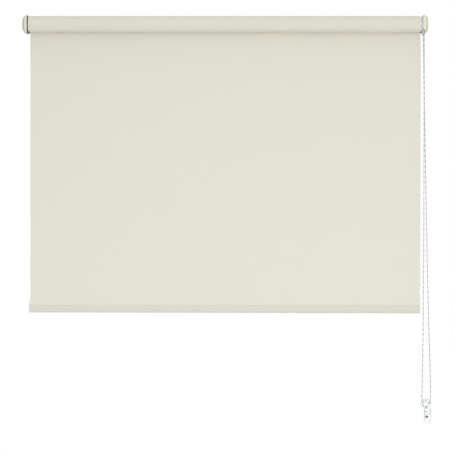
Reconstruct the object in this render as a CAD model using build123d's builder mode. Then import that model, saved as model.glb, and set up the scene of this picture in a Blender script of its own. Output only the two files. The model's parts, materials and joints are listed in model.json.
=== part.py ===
"""Screen roller blind: fabric on a tube between two wall brackets, worked by a bead chain.

X runs along the tube towards the chain, Y towards the wall and Z up, in millimetres. The origin
lies on the wall, in the middle of the four screw holes and level with the roller axis. The fabric
leaves the back of the roll, and the blind stands about half lowered.
"""

import os
from math import cos, pi, radians, sqrt, tan

from build123d import *

os.makedirs("parts", exist_ok=True)

# Fabric and roller
fabric_margin = 0.8  # bare tube at each end of the fabric
fabric_thickness = 0.45
fabric_play = 0.05  # between the fabric and what it wraps
drop = 642.6  # roller axis to the top of the hem
wound_length = 1110.0  # fabric still on the roll
tube_length = 893.0
tube_radius = 14.0
tube_wall = 1.0
tube_middle = -1.5  # the chain side takes more room than the idle side
axis_to_wall = 34.0

# Screw holes in the wall flanges
hole_allowance = 2.0  # how much further apart than the tube is long
hole_spacing_z = 24.0
hole_radius = 2.25

# Steel brackets
plate_thickness = 1.5
plate_half = 17.5  # half the height, and the reach in front of the roller axis
flange_margin = 7.0  # from the screw holes to the inner edge of the wall flange
plate_neck = 6.0  # narrower part of the left plate at the wall
bend_radius = 1.0
flange_corner = 3.0
plate_corner = 13.0  # cut off the right plate's two front corners

# Plastic covers
cover_wall = 1.6
left_cover_radius = 20.6
left_cover_depth = 11.7
left_cover_bevel = 7.0
right_cover_radius = 22.2
right_cover_front = 3.5  # from the plate to the cover's outer face
right_cover_back = 9.4  # from the plate back over the chain wheel
right_cover_bevel = 5.8
tab_width = 3.0
tab_height = 2.0
tab_spacing = 24.0
tab_to_wall = 20.0
tab_gap = 0.1

# Plugs in the tube's ends
plug_flange_radius = 17.0
left_flange = 2.4
right_flange = 2.2
plug_fit = 0.15  # between a plug's ribs and the tube's bore
plug_rib_height = 1.45
plug_rib_width = 1.6
plug_rib_count = 8
left_plug_length = 24.0
hub_length = 38.8
sleeve_setback = 3.0  # from the tube's end to the shoulder of the chain wheel's sleeve

# Tube extrusion: key ribs inside, and a channel that grips the fabric's edge
key_width = 1.6
key_height = 1.4
channel_radius = 1.5
channel_lip = 0.8
channel_centre = 11.9
channel_mouth = 1.2
channel_play = 0.15

# Chain wheel
bead_pitch = 12.0
pocket_count = 8
pocket_radius = 2.45
wheel_width = 7.1
wheel_rim = 1.3  # how far the rim stands out past the bead centres
wheel_gap = 0.8  # from the guard's face to the wheel
cord_groove_width = 1.7
cord_groove_play = 0.3

# Clutch
spindle_radius = 6.0
running_gap = 0.08
side_gap = 0.2
hub_bore_radius = 9.0
sleeve_gap = 0.12
finger_inner_radius = 7.3
finger_half_angle = 65.0
hub_wall = 2.8
disc_thickness = 1.4
disc_radius = 18.5
spigot_size = 10.0
spigot_length = 2.8
spring_wire = 1.0
spring_turns = 1.5
spring_pitch = 1.15
spring_gap = 0.05
tang_length = 1.5
clip_thickness = 1.0
clip_size = 13.0
clip_flats = 10.0  # across the spindle's flats that the clip slides over

# Both springs
turn_sections = 16  # sections of wire in one turn

# Guard ring round the chain wheel
guard_wall = 1.6
guard_face = 1.6
guard_gap = 0.4  # from the guard's face to the roller's flange
guard_bevel = 3.8
guard_room_bevel = 2.4
neck_radius = 9.6
neck_gap = 0.6
slot_width = 5.5
guard_slot_play = 4.0  # each side of a strand
cover_slot_play = 2.7
slot_below_axis = 8.0

# Idle pin and its spring
pin_radius = 2.5
pin_reach = 3.6  # past the bracket plate
pin_gap = 0.1
collar_radius = 3.8
collar_length = 2.0
idle_bore_radius = 3.9
idle_bore_wall = 3.4
lip_radius = 2.4
lip_length = 1.5
idle_gap = 1.0  # from the plug's flange to the bracket plate
idle_wire = 0.5
idle_coil_radius = 3.2
idle_turns = 3

# Hem
bar_height = 15.6
bar_depth = 6.0
bar_wall = 1.0
weld_height = 6.0
left_cap_thickness = 2.0
right_cap_thickness = 1.6
cap_tongue_length = 8.0
cap_tongue_depth = 3.6

# Bead chain
cord_side = 1.1
cord_joint = 0.4  # between the cord's two ends, inside the bead at the top of the wheel
bead_radius = 2.25
bead_half_length = 2.6

# Chain tidy on the wall
tidy_shift = 6.95  # from the chain wheel's middle plane, along X
tidy_z = -870.0
tidy_radius = 12.2
tidy_rim = 1.5
tidy_depth = 12.5
tidy_plate = 2.2
tidy_hub_radius = 5.0
tidy_lip_radius = 7.0
tidy_lip_thickness = 1.5
leg_width = 16.0
leg_length = 46.0
leg_corner = 4.0
leg_rib = 1.2
leg_rib_height = 2.0
notch_angles = (41.0, 139.0)
notch_width = 8.5
tidy_hole_radius = 1.9
tidy_hole_shift = 2.5
tidy_hole_drop = 29.5
tidy_hole_spacing = 10.8
screw_head_radius = 2.9
screw_head_height = 2.0
screw_radius = 1.75
screw_length = 18.0
recess_length = 3.4
recess_width = 0.7
recess_depth = 1.0

# Stations along X, worked out from the tube outwards
fabric_width = tube_length - 2 * fabric_margin
hole_spacing_x = tube_length + hole_allowance
tube_left = tube_middle - tube_length / 2
tube_right = tube_middle + tube_length / 2
fabric_left = tube_middle - fabric_width / 2
fabric_right = tube_middle + fabric_width / 2
left_flange_out = tube_left - left_flange
left_plate_in = left_flange_out - idle_gap
left_plate_out = left_plate_in - plate_thickness
guard_in = tube_right + right_flange + guard_gap
wheel_in = guard_in + guard_face + wheel_gap
chain_x = wheel_in + wheel_width / 2
tidy_x = chain_x + tidy_shift
disc_in = wheel_in + wheel_width + side_gap
right_plate_in = disc_in + disc_thickness
right_plate_out = right_plate_in + plate_thickness
hub_end = tube_right - hub_length
sleeve_end = tube_right - sleeve_setback
flange_inner_x = hole_spacing_x / 2 - flange_margin

# Other worked-out sizes
roll_radius = sqrt(tube_radius**2 + wound_length * fabric_thickness / pi)
sheet_front = -axis_to_wall + roll_radius - fabric_thickness
pocket_circle = bead_pitch * pocket_count / (2 * pi)
wheel_radius = pocket_circle + wheel_rim
guard_radius = disc_radius + tab_gap + guard_wall
guard_out = disc_in + disc_thickness / 2
sleeve_radius = tube_radius - tube_wall - plug_fit - plug_rib_height
bar_y = sheet_front + fabric_thickness + fabric_play + bar_depth / 2
bar_z = -drop - fabric_thickness - fabric_play - bar_height / 2


def across(x):
    """The plane across the roller at station x: its origin on the roller axis, Z up."""
    return Plane(origin=(x, -axis_to_wall, 0), x_dir=(0, 1, 0), z_dir=(1, 0, 0))


def drum(x_from, x_to, radius, mode=Mode.ADD):
    """A round length about the roller axis, from one station to another."""
    with Locations(across(x_from)):
        Cylinder(radius, x_to - x_from, align=(Align.CENTER, Align.CENTER, Align.MIN), mode=mode)


def d_outline(radius, mode=Mode.ADD):
    """Round in front about the roller axis, and straight back to the wall."""
    Circle(radius, mode=mode)
    Rectangle(axis_to_wall, 2 * radius, align=(Align.MIN, Align.CENTER), mode=mode)


def plate_outline():
    """The right bracket's plate: square at the wall, with its two front corners cut off."""
    with Locations((axis_to_wall, 0)):
        plate = Rectangle(
            axis_to_wall + plate_half,
            2 * plate_half,
            align=(Align.MAX, Align.CENTER),
        )
    chamfer(plate.vertices().group_by(Axis.X)[0], plate_corner)


def plug_outline():
    """A finned plug that slides into the tube, past its key ribs and its fabric channel."""
    Circle(sleeve_radius)
    with PolarLocations(sleeve_radius, plug_rib_count, start_angle=180 / plug_rib_count):
        Rectangle(2 * plug_rib_height, plug_rib_width)
    with PolarLocations(tube_radius - tube_wall, 3, start_angle=180, angular_range=270):
        Rectangle(2 * (key_height + plug_fit), key_width + 2 * plug_fit, mode=Mode.SUBTRACT)
    with Locations((0, channel_centre)):
        Circle(channel_radius + channel_lip + plug_fit, mode=Mode.SUBTRACT)


def sector(inner, outer, middle_angle, half_angle):
    """A ring's sector between two radii."""
    with BuildLine(mode=Mode.PRIVATE) as outline:
        inside = CenterArc((0, 0), inner, middle_angle - half_angle, 2 * half_angle)
        outside = CenterArc((0, 0), outer, middle_angle - half_angle, 2 * half_angle)
        Line(inside @ 0, outside @ 0)
        Line(inside @ 1, outside @ 1)
    make_face(outline.edges())


def tab_places():
    """The two places across the plates where a cover's tabs go through."""
    return GridLocations(0, tab_spacing, 1, 2)


def strand_opening(radius, middle, half_width):
    """Cut a wall of this radius open below the chain wheel, round a place across the axis."""
    depth = radius + 1 - slot_below_axis
    with Locations((chain_x, -axis_to_wall + middle, -slot_below_axis)):
        Box(
            slot_width,
            2 * half_width,
            depth,
            align=(Align.CENTER, Align.CENTER, Align.MAX),
            mode=Mode.SUBTRACT,
        )


def hem_slot(growth, mode=Mode.ADD):
    """The hem bar's flat-oval outline, grown all round."""
    with Locations((bar_y, bar_z)):
        SlotOverall(bar_height + 2 * growth, bar_depth + 2 * growth, rotation=90, mode=mode)


def coil_place(start, pitch, radius, turn):
    """Where the wire of a coil is after some turns: X leads away from the roller axis, Z along it."""
    reach = radius / cos(pi / turn_sections)  # the straight runs between sections keep this radius
    return across(start + pitch * turn) * Rot(0, 0, 90 + 360 * turn) * Pos(reach, 0, 0)


def wire_coil(start, pitch, radius, turns, wire):
    """A coil of square wire about the roller axis."""
    sections = []
    for step in range(round(turns * turn_sections) + 1):
        place = coil_place(start, pitch, radius, step / turn_sections)
        with BuildSketch(place * Rot(90, 0, 0)) as section:
            Rectangle(wire, wire)
        sections.append(section.sketch.face())
    loft(sections, ruled=True)


def cap_tongue():
    """The tongue of a hem cap, between the bar's two round edges."""
    with Locations((bar_y, bar_z)):
        Rectangle(cap_tongue_depth, bar_height - bar_depth)


# Left bracket: a steel angle whose plate is round behind the cover, with the pin's hole
with BuildPart() as bracket_left:
    with BuildSketch(across(left_plate_out)):
        Circle(left_cover_radius)
        neck_start = axis_to_wall - plate_neck
        Rectangle(neck_start, 2 * left_cover_radius, align=(Align.MIN, Align.CENTER))
        Rectangle(axis_to_wall, 2 * plate_half, align=(Align.MIN, Align.CENTER))
    extrude(amount=plate_thickness)
    with BuildSketch(Plane.XZ) as left_flange_face:
        with Locations((left_plate_out, 0)):
            Rectangle(
                -flange_inner_x - left_plate_out,
                2 * plate_half,
                align=(Align.MIN, Align.CENTER),
            )
        chamfer(left_flange_face.vertices().group_by(Axis.X)[-1], flange_corner)
    extrude(amount=plate_thickness)
    outer_bend = bracket_left.edges().filter_by(Axis.Z).sort_by_distance((left_plate_out, 0, 0))[0]
    fillet(outer_bend, bend_radius + plate_thickness)
    inner_bend = (
        bracket_left.edges().filter_by(Axis.Z).sort_by_distance((left_plate_in, -plate_thickness, 0))[0]
    )
    fillet(inner_bend, bend_radius)
    with BuildSketch(Plane.XZ):
        with Locations((-hole_spacing_x / 2, 0)):
            with GridLocations(0, hole_spacing_z, 1, 2):
                Circle(hole_radius)
    extrude(amount=plate_thickness, mode=Mode.SUBTRACT)
    drum(left_plate_out, left_plate_in, pin_radius + pin_gap, Mode.SUBTRACT)
    with BuildSketch(Plane.YZ.offset(left_plate_out)):
        with Locations((-tab_to_wall, 0)):
            with tab_places():
                Rectangle(tab_width + 2 * tab_gap, tab_height + 2 * tab_gap)
    extrude(amount=plate_thickness, mode=Mode.SUBTRACT)
bracket_left.part.label = "bracket_left"
export_step(bracket_left.part, "parts/bracket_left.step")

# Right bracket: the same angle with the spindle's square hole
with BuildPart() as bracket_right:
    with BuildSketch(across(right_plate_in)):
        plate_outline()
    extrude(amount=plate_thickness)
    with BuildSketch(Plane.XZ) as right_flange_face:
        with Locations((flange_inner_x, 0)):
            Rectangle(
                right_plate_out - flange_inner_x,
                2 * plate_half,
                align=(Align.MIN, Align.CENTER),
            )
        chamfer(right_flange_face.vertices().group_by(Axis.X)[0], flange_corner)
    extrude(amount=plate_thickness)
    outer_bend = bracket_right.edges().filter_by(Axis.Z).sort_by_distance((right_plate_out, 0, 0))[0]
    fillet(outer_bend, bend_radius + plate_thickness)
    inner_bend = (
        bracket_right.edges().filter_by(Axis.Z).sort_by_distance((right_plate_in, -plate_thickness, 0))[0]
    )
    fillet(inner_bend, bend_radius)
    with BuildSketch(Plane.XZ):
        with Locations((hole_spacing_x / 2, 0)):
            with GridLocations(0, hole_spacing_z, 1, 2):
                Circle(hole_radius)
    extrude(amount=plate_thickness, mode=Mode.SUBTRACT)
    with BuildSketch(across(right_plate_in)):
        Rectangle(spigot_size + pin_gap, spigot_size + pin_gap)
    extrude(amount=plate_thickness, mode=Mode.SUBTRACT)
    with BuildSketch(Plane.YZ.offset(right_plate_in)):
        with Locations((-tab_to_wall, 0)):
            with tab_places():
                Rectangle(tab_width + 2 * tab_gap, tab_height + 2 * tab_gap)
    extrude(amount=plate_thickness, mode=Mode.SUBTRACT)
bracket_right.part.label = "bracket_right"
export_step(bracket_right.part, "parts/bracket_right.step")

# Left cover: a bevelled cap, open to the plate and to the wall, with two tabs
left_cover_out = left_plate_out - left_cover_depth
with BuildPart() as left_cover_room:
    with BuildSketch(across(left_cover_out + cover_wall)):
        d_outline(left_cover_radius - cover_wall)
    extrude(amount=left_cover_depth - cover_wall)
    cap_face = left_cover_room.faces().sort_by(Axis.X)[0]
    chamfer(cap_face.edges() - cap_face.edges().sort_by(Axis.Y)[-1:], left_cover_bevel)
with BuildPart() as cover_left:
    with BuildSketch(across(left_cover_out)):
        d_outline(left_cover_radius)
    extrude(amount=left_cover_depth)
    cap_face = cover_left.faces().sort_by(Axis.X)[0]
    chamfer(cap_face.edges() - cap_face.edges().sort_by(Axis.Y)[-1:], left_cover_bevel)
    add(left_cover_room.part, mode=Mode.SUBTRACT)
    with BuildSketch(Plane.YZ.offset(left_cover_out + cover_wall / 2)):
        with Locations((-tab_to_wall, 0)):
            with tab_places():
                Rectangle(tab_width, tab_height)
    extrude(amount=left_plate_in - left_cover_out - cover_wall / 2)
cover_left.part.label = "cover_left"
export_step(cover_left.part, "parts/cover_left.step")

# Right cover: deeper, over plate and chain wheel, slotted below for the strands
right_cover_out = right_plate_out + right_cover_front
right_cover_in = right_plate_out - right_cover_back
right_cover_depth = right_cover_front + right_cover_back
with BuildPart() as right_cover_room:
    with BuildSketch(across(right_cover_in)):
        d_outline(right_cover_radius - cover_wall)
    extrude(amount=right_cover_depth - cover_wall)
    cap_face = right_cover_room.faces().sort_by(Axis.X)[-1]
    chamfer(cap_face.edges() - cap_face.edges().sort_by(Axis.Y)[-1:], right_cover_bevel - cover_wall)
with BuildPart() as cover_right:
    with BuildSketch(across(right_cover_in)):
        d_outline(right_cover_radius)
    extrude(amount=right_cover_depth)
    cap_face = cover_right.faces().sort_by(Axis.X)[-1]
    chamfer(cap_face.edges() - cap_face.edges().sort_by(Axis.Y)[-1:], right_cover_bevel)
    add(right_cover_room.part, mode=Mode.SUBTRACT)
    strand_opening(right_cover_radius, 0, pocket_circle + cover_slot_play)
    with BuildSketch(Plane.YZ.offset(right_plate_in)):
        with Locations((-tab_to_wall, 0)):
            with tab_places():
                Rectangle(tab_width, tab_height)
    extrude(amount=right_cover_out - right_plate_in - cover_wall / 2)
cover_right.part.label = "cover_right"
export_step(cover_right.part, "parts/cover_right.step")

# Guard: a bevelled cup round the chain wheel, open below where the strands leave
with BuildPart() as guard_room:
    drum(guard_in + guard_face, guard_out, guard_radius - guard_wall)
    chamfer(guard_room.edges().filter_by(GeomType.CIRCLE).sort_by(Axis.X)[0], guard_room_bevel)
with BuildPart() as chain_guard:
    drum(guard_in, guard_out, guard_radius)
    chamfer(chain_guard.edges().filter_by(GeomType.CIRCLE).sort_by(Axis.X)[0], guard_bevel)
    add(guard_room.part, mode=Mode.SUBTRACT)
    drum(guard_in, guard_in + guard_face, neck_radius + neck_gap, Mode.SUBTRACT)
    for side in (-1, 1):
        strand_opening(guard_radius, side * pocket_circle, guard_slot_play)
chain_guard.part.label = "chain_guard"
export_step(chain_guard.part, "parts/chain_guard.step")

# Clutch spindle, held by its square end in the right bracket
clip_x = hub_end - side_gap - clip_thickness
with BuildPart() as clutch_stator:
    drum(clip_x - clip_thickness, disc_in, spindle_radius)
    drum(disc_in, right_plate_in, disc_radius)
    with BuildSketch(across(right_plate_in)):
        Rectangle(spigot_size, spigot_size)
    extrude(amount=spigot_length)
    with BuildSketch(across(clip_x - running_gap)):
        Circle(spindle_radius)
        Rectangle(clip_flats, clip_flats, mode=Mode.SUBTRACT)
    extrude(amount=clip_thickness + 2 * running_gap, mode=Mode.SUBTRACT)
clutch_stator.part.label = "clutch_stator"
export_step(clutch_stator.part, "parts/clutch_stator.step")

# Fork that keeps the hub on the spindle
fork_width = clip_flats + 2 * running_gap
with BuildPart() as stator_clip:
    with BuildSketch(across(clip_x)):
        Rectangle(clip_size, clip_size)
        with Locations((0, fork_width / 2)):
            Rectangle(fork_width, clip_size, align=(Align.CENTER, Align.MAX), mode=Mode.SUBTRACT)
    extrude(amount=clip_thickness)
stator_clip.part.label = "stator_clip"
export_step(stator_clip.part, "parts/stator_clip.step")

# Chain wheel: bead pockets joined by a cord groove, with a sleeve and a driving finger
with BuildPart() as sprocket:
    drum(wheel_in, wheel_in + wheel_width, wheel_radius)
    with BuildSketch(across(chain_x - cord_groove_width / 2)):
        Circle(wheel_radius)
        Circle(pocket_circle - cord_side / 2 - cord_groove_play, mode=Mode.SUBTRACT)
    extrude(amount=cord_groove_width, mode=Mode.SUBTRACT)
    with BuildSketch(across(chain_x)):
        with PolarLocations(pocket_circle, pocket_count):
            RegularPolygon(pocket_radius, 6, major_radius=False)
    extrude(amount=pocket_radius, both=True, mode=Mode.SUBTRACT)
    drum(guard_in - side_gap, wheel_in, neck_radius)
    drum(sleeve_end, guard_in - side_gap, hub_bore_radius - sleeve_gap)
    with BuildSketch(across(hub_end + hub_wall + side_gap)):
        sector(
            finger_inner_radius,
            hub_bore_radius - sleeve_gap,
            0,
            finger_half_angle,
        )
    extrude(amount=sleeve_end - hub_end - hub_wall - side_gap)
    drum(sleeve_end, wheel_in + wheel_width, spindle_radius + running_gap, Mode.SUBTRACT)
sprocket.part.label = "sprocket"
export_step(sprocket.part, "parts/sprocket.step")

# Drive hub: flange beside the roll, finned sleeve in the tube, its own finger inside
with BuildPart() as drive_hub:
    with BuildSketch(across(hub_end)):
        plug_outline()
    extrude(amount=tube_right - hub_end)
    drum(tube_right, tube_right + right_flange, plug_flange_radius)
    drum(hub_end + hub_wall, tube_right + right_flange, hub_bore_radius, Mode.SUBTRACT)
    drum(hub_end, hub_end + hub_wall, spindle_radius + running_gap, Mode.SUBTRACT)
    with BuildSketch(across(hub_end)):
        sector(finger_inner_radius, sleeve_radius, 180, finger_half_angle)
    extrude(amount=sleeve_end - side_gap - hub_end)
drive_hub.part.label = "drive_hub"
export_step(drive_hub.part, "parts/drive_hub.step")


# Wrap spring that grips the spindle, with a tang at each end between the two fingers
coil_radius = spindle_radius + spring_gap + spring_wire / 2
coil_start = (hub_end + hub_wall + sleeve_end - spring_turns * spring_pitch) / 2
with BuildPart() as brake_spring:
    wire_coil(coil_start, spring_pitch, coil_radius, spring_turns, spring_wire)
    for turn in (0, spring_turns):
        with Locations(coil_place(coil_start, spring_pitch, coil_radius, turn)):
            Box(
                tang_length,
                spring_wire,
                spring_wire,
                align=(Align.MIN, Align.CENTER, Align.CENTER),
            )
brake_spring.part.label = "brake_spring"
export_step(brake_spring.part, "parts/brake_spring.step")

# Tube: an aluminium extrusion with three key ribs and a channel for the fabric's edge
with BuildPart() as roller_tube:
    with BuildSketch(across(tube_left)):
        Circle(tube_radius)
        Circle(tube_radius - tube_wall, mode=Mode.SUBTRACT)
        with PolarLocations(tube_radius - tube_wall / 2, 3, start_angle=180, angular_range=270):
            Rectangle(2 * key_height + tube_wall, key_width)
        with Locations((0, channel_centre)):
            Circle(channel_radius + channel_lip)
        Circle(tube_radius, mode=Mode.INTERSECT)
        with Locations((0, channel_centre)):
            Circle(channel_radius, mode=Mode.SUBTRACT)
            Rectangle(
                channel_mouth,
                tube_radius,
                align=(Align.CENTER, Align.MIN),
                mode=Mode.SUBTRACT,
            )
    extrude(amount=tube_length)
roller_tube.part.label = "roller_tube"
export_step(roller_tube.part, "parts/roller_tube.step")

# Plastic strip that locks the fabric's edge in the channel
with BuildPart() as fabric_spline:
    with BuildSketch(across(fabric_left)):
        with Locations((0, channel_centre)):
            Circle(channel_radius - channel_play)
    extrude(amount=fabric_width)
fabric_spline.part.label = "fabric_spline"
export_step(fabric_spline.part, "parts/fabric_spline.step")

# Fabric on the tube: its outline is a two-centre spiral that steps by one thickness at the back
turn_radius = plug_flange_radius + fabric_thickness  # an open turn that shows at both ends
with BuildPart() as fabric_roll:
    with BuildSketch(across(fabric_left)):
        with BuildLine():
            CenterArc((0, 0), roll_radius, 0, 180)
            CenterArc((-fabric_thickness / 2, 0), roll_radius - fabric_thickness / 2, 180, 180)
            Line((roll_radius - fabric_thickness, 0), (roll_radius, 0))
        make_face()
        Circle(tube_radius + fabric_play, mode=Mode.SUBTRACT)
        with Locations((0, channel_centre + channel_radius)):
            Rectangle(
                fabric_thickness,
                tube_radius + 2 * fabric_play - channel_centre - channel_radius,
                align=(Align.CENTER, Align.MIN),
            )
    extrude(amount=fabric_width)
    for end_x in (fabric_left, fabric_right - fabric_thickness):
        with BuildSketch(across(end_x)):
            Circle(turn_radius + fabric_thickness / 4)
            Circle(turn_radius - fabric_thickness / 4, mode=Mode.SUBTRACT)
        extrude(amount=fabric_thickness, mode=Mode.SUBTRACT)
fabric_roll.part.label = "fabric_roll"
export_step(fabric_roll.part, "parts/fabric_roll.step")

# Idle plug: flange beside the roll, finned sleeve, and the bore of the spring pin
bore_out = left_flange_out + idle_bore_wall
plug_end = tube_left + left_plug_length
with BuildPart() as idle_plug:
    drum(left_flange_out, tube_left, plug_flange_radius)
    with BuildSketch(across(tube_left)):
        plug_outline()
    extrude(amount=left_plug_length)
    drum(left_flange_out, bore_out, pin_radius + pin_gap, Mode.SUBTRACT)
    drum(bore_out, plug_end - lip_length, idle_bore_radius, Mode.SUBTRACT)
    drum(plug_end - lip_length, plug_end, lip_radius, Mode.SUBTRACT)
idle_plug.part.label = "idle_plug"
export_step(idle_plug.part, "parts/idle_plug.step")

# Idle pin: bevelled nose in the bracket, and a collar that stops in the bore
pin_nose = left_plate_out - pin_reach
with BuildPart() as idle_pin:
    drum(pin_nose, bore_out, pin_radius)
    chamfer(idle_pin.edges().sort_by(Axis.X)[0], pin_radius / 3)
    drum(bore_out, bore_out + collar_length, collar_radius)
idle_pin.part.label = "idle_pin"
export_step(idle_pin.part, "parts/idle_pin.step")

# Compression spring between the pin's collar and the plug's inner lip
idle_spring_start = bore_out + collar_length + idle_wire / 2
idle_spring_height = plug_end - lip_length - idle_wire / 2 - idle_spring_start
with BuildPart() as idle_spring:
    wire_coil(
        idle_spring_start,
        idle_spring_height / idle_turns,
        idle_coil_radius,
        idle_turns,
        idle_wire,
    )
idle_spring.part.label = "idle_spring"
export_step(idle_spring.part, "parts/idle_spring.step")

# Hanging fabric, from the tangent at the back of the roll to the hem
with BuildPart() as fabric_sheet:
    with BuildSketch(Plane.YZ.offset(fabric_left)):
        with Locations((sheet_front, 0)):
            Rectangle(fabric_thickness, drop, align=(Align.MIN, Align.MAX))
    extrude(amount=fabric_width)
fabric_sheet.part.label = "fabric_sheet"
export_step(fabric_sheet.part, "parts/fabric_sheet.step")

# Hem: the fabric runs round the bar, and its end is welded to the back of the sheet
pocket_growth = fabric_play + fabric_thickness
with BuildPart() as hem_pocket:
    with BuildSketch(Plane.YZ.offset(fabric_left)):
        hem_slot(pocket_growth)
        with Locations((sheet_front, -drop)):
            Rectangle(fabric_thickness, bar_height / 2, align=(Align.MIN, Align.MAX))
        with Locations((sheet_front + fabric_thickness, -drop + weld_height)):
            Rectangle(
                fabric_thickness,
                weld_height + bar_depth / 2,
                align=(Align.MIN, Align.MAX),
            )
        hem_slot(fabric_play, Mode.SUBTRACT)
    extrude(amount=fabric_width)
hem_pocket.part.label = "hem_pocket"
export_step(hem_pocket.part, "parts/hem_pocket.step")

# Hem bar: a hollow flat-oval extrusion
bar_left = fabric_left
bar_right = fabric_right - right_cap_thickness
with BuildPart() as hem_bar:
    with BuildSketch(Plane.YZ.offset(bar_left)):
        hem_slot(0)
        hem_slot(-bar_wall, Mode.SUBTRACT)
    extrude(amount=bar_right - bar_left)
hem_bar.part.label = "hem_bar"
export_step(hem_bar.part, "parts/hem_bar.step")

# Hem caps: the left one stands out of the pocket, the right one sits flush in it
with BuildPart() as hem_cap_left:
    with BuildSketch(Plane.YZ.offset(bar_left - left_cap_thickness)):
        hem_slot(pocket_growth)
    extrude(amount=left_cap_thickness)
    chamfer(hem_cap_left.edges().group_by(Axis.X)[0], left_cap_thickness / 3)
    with BuildSketch(Plane.YZ.offset(bar_left)):
        cap_tongue()
    extrude(amount=cap_tongue_length)
hem_cap_left.part.label = "hem_cap_left"
export_step(hem_cap_left.part, "parts/hem_cap_left.step")

with BuildPart() as hem_cap_right:
    with BuildSketch(Plane.YZ.offset(bar_right)):
        hem_slot(0)
    extrude(amount=right_cap_thickness)
    with BuildSketch(Plane.YZ.offset(bar_right)):
        cap_tongue()
    extrude(amount=-cap_tongue_length)
hem_cap_right.part.label = "hem_cap_right"
export_step(hem_cap_right.part, "parts/hem_cap_right.step")

# Bead chain: an endless loop over the wheel and under the tidy's hub. The front strand swings
# to the left of the hub and the rear one to its right, so the loop makes a quarter turn.
front_y = -axis_to_wall - pocket_circle
rear_y = -axis_to_wall + pocket_circle
chain_route = [
    (chain_x, front_y, 0),
    (chain_x, front_y, -22),
    (chain_x - 0.25, -48.9, -90),
    (chain_x - 0.45, -48.0, -210),
    (chain_x - 0.55, -46.4, -345),
    (chain_x - 0.75, -43.8, -480),
    (chain_x - 1.0, -39.6, -600),
    (chain_x - 1.4, -33.6, -700),
    (chain_x - 1.95, -25.2, -782),
    (chain_x - 2.45, -15.6, -835),
    (chain_x - 2.55, -9.2, -858.5),
    (chain_x - 1.05, -8.0, -869),
    (chain_x + 1.15, -8.0, -876.7),
    (chain_x + 7.15, -8.0, -878.7),
    (chain_x + 12.85, -8.0, -876.1),
    (chain_x + 15.15, -8.0, -868),
    (chain_x + 16.85, -8.3, -857.5),
    (chain_x + 17.85, -9.2, -839.5),
    (chain_x + 16.35, -10.8, -788),
    (chain_x + 13.6, -13.0, -707),
    (chain_x + 10.9, -14.8, -606),
    (chain_x + 8.2, -16.2, -486),
    (chain_x + 5.7, -17.2, -350),
    (chain_x + 3.3, -17.9, -215),
    (chain_x + 1.25, -18.4, -95),
    (chain_x, rear_y, -22),
    (chain_x, rear_y, 0),
]


def corner_radii(points):
    """One radius for each corner: as large as its two runs allow."""
    radii = []
    for before, corner, after in zip(points, points[1:], points[2:]):
        run_in = Vector(corner) - Vector(before)
        run_out = Vector(after) - Vector(corner)
        turn = radians(run_in.get_angle(run_out))
        radii.append(0.45 * min(run_in.length, run_out.length) / tan(turn / 2))
    return radii


route_radii = corner_radii(chain_route)
print("chain bend radii:", [round(r, 1) for r in route_radii])
joint_angle = 90 * cord_joint / (pi * pocket_circle)
with BuildPart() as chain_cord:
    with BuildLine() as chain_line:
        FilletPolyline(*chain_route, radius=route_radii)
        with BuildLine(across(chain_x)):
            CenterArc((0, 0), pocket_circle, 0, 90 - joint_angle)
            CenterArc((0, 0), pocket_circle, 90 + joint_angle, 90 - joint_angle)
    loop = chain_line.wire()
    with BuildSketch(Plane(loop @ 0, z_dir=loop % 0)):
        Rectangle(cord_side, cord_side)
    sweep(path=loop)
chain_cord.part.label = "chain_cord"
export_step(chain_cord.part, "parts/chain_cord.step")
print("chain length", round(loop.length, 1), "ends", loop @ 0, loop @ 1)
print("cord volume over section times length", chain_cord.part.volume / (cord_side**2 * loop.length))

# The beads: one six-sided double cone, repeated from the top pocket of the wheel round the loop
with BuildPart() as bead:
    with BuildSketch(mode=Mode.PRIVATE) as bead_belt:
        RegularPolygon(bead_radius, 6)
    loft(
        [Vertex(0, 0, -bead_half_length), bead_belt.face(), Vertex(0, 0, bead_half_length)],
        ruled=True,
    )

bead_count = round(loop.length / bead_pitch)
with BuildPart() as chain_beads:
    shares = [i / bead_count for i in range(bead_count)]
    with Locations([Plane(loop @ share, z_dir=loop % share) for share in shares]):
        add(bead.part)
chain_beads.part.label = "chain_beads"
export_step(chain_beads.part, "parts/chain_beads.step")
print("beads", bead_count, "solids", len(chain_beads.part.solids()))

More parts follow.
